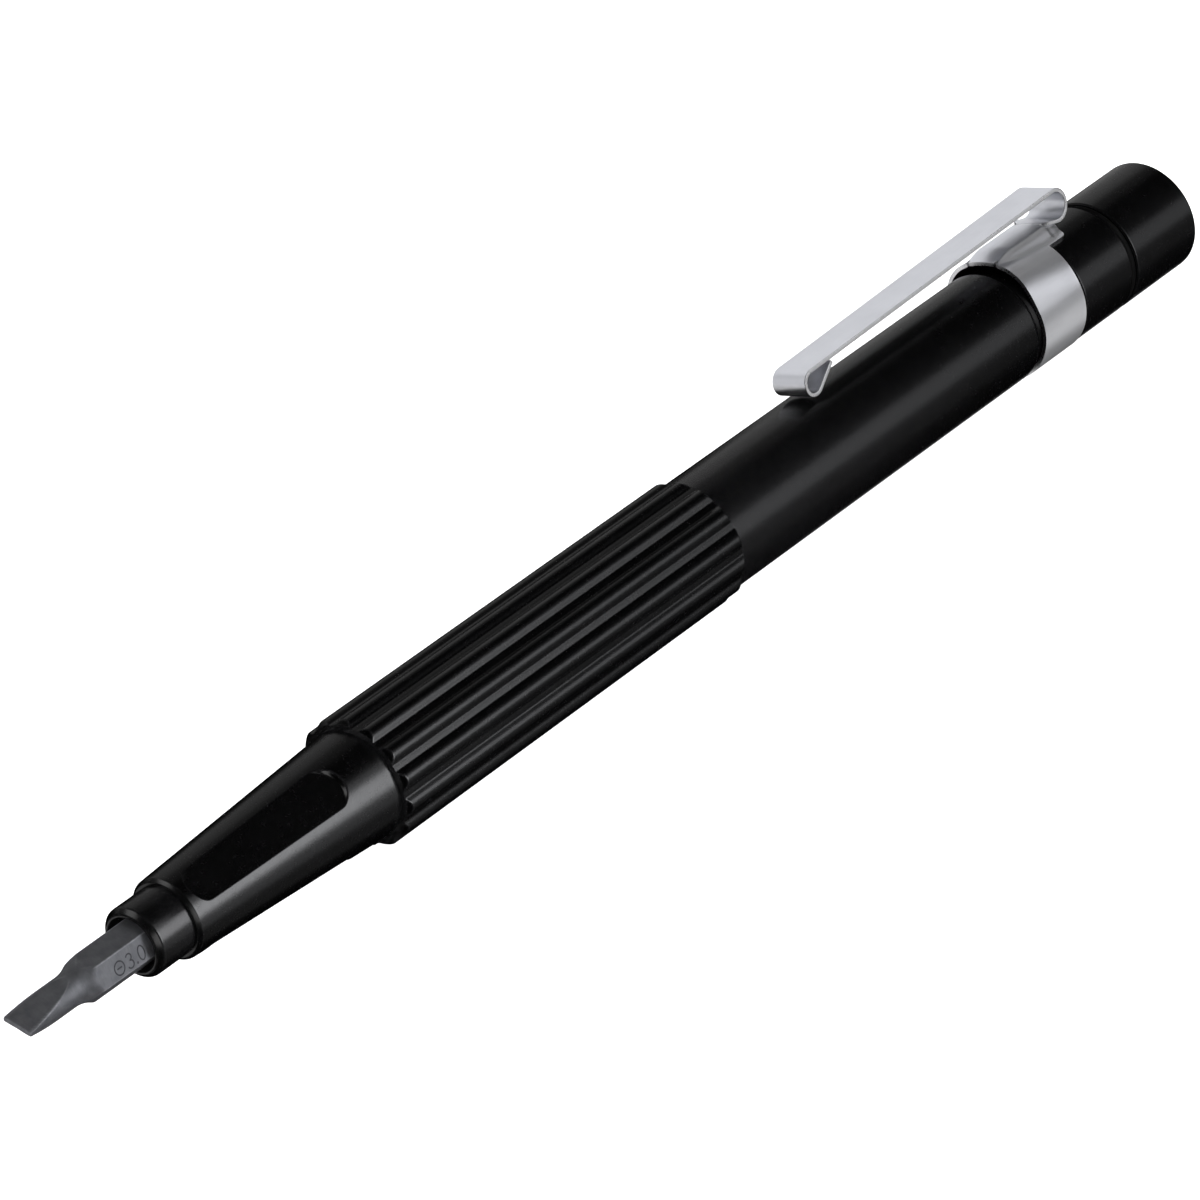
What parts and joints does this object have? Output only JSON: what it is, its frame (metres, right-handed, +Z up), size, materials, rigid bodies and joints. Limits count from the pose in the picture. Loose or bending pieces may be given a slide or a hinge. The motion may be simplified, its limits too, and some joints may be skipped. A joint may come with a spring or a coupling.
{
  "type": "pocket screwdriver",
  "caption": "Pocket screwdriver with an exchangeable hex bit in a magnetic collar, a tapered nose, a fluted grip, a spring clip and a screw cap over spare bits.",
  "frame": {"origin": "bottom centre of the bounding box: halfway along the tool, on the plane that the two lowest grip ridges rest on, under the tool's axis", "axes": "+X along the tool's axis from the blade towards the cap, +Z up, the clip rolled 19 degrees from +Z towards +Y"},
  "size_m": [0.1662, 0.0124, 0.0159],
  "materials": {
    "black_aluminium": "bead-blasted, black anodised, satin",
    "black_steel": "blackened, satin",
    "bit_steel": "gunmetal, fine-blasted",
    "clip_steel": "satin nickel plating on spring steel",
    "magnet": "nickel plated",
    "seal_rubber": "matte",
    "cushion_rubber": "matte",
    "cartridge_plastic": "moulded, satin"
  },
  "bodies": {
    "handle": {"bit_socket": "black_steel", "bit_magnet": "magnet", "nose_cone": "black_aluminium", "grip_sleeve": "black_aluminium", "barrel": "black_aluminium", "bit_cartridge": "cartridge_plastic", "spare_slot_bit": "bit_steel", "spare_cross_bit_small": "bit_steel", "spare_cross_bit_large": "bit_steel"},
    "bit": {"driver_bit": "bit_steel"},
    "clip": {"pocket_clip": "clip_steel"},
    "seal": {"cap_seal": "seal_rubber"},
    "cap": {"end_cap": "black_aluminium", "cap_cushion": "cushion_rubber"}
  },
  "joints": [
    {"name": "bit_pull", "type": "slide", "parent": "handle", "child": "bit", "axis": [-1, 0, 0], "range_m": [0, 0.0136]},
    {"name": "clip_turn", "type": "hinge", "parent": "handle", "child": "clip", "pos_m": [0.06057, 0, 0.00616], "axis": [1, 0, 0], "continuous": true},
    {"name": "cap_travel", "type": "slide", "parent": "handle", "child": "seal", "axis": [1, 0, 0], "range_m": [0, 0.00525]},
    {"name": "cap_turn", "type": "hinge", "parent": "seal", "child": "cap", "pos_m": [0.0729, 0, 0.00616], "axis": [1, 0, 0], "range_deg": [0, 2520]}
  ],
  "couplings": [
    {"joint": "cap_turn", "follows": "cap_travel", "rad_per_m": 8377.5}
  ]
}
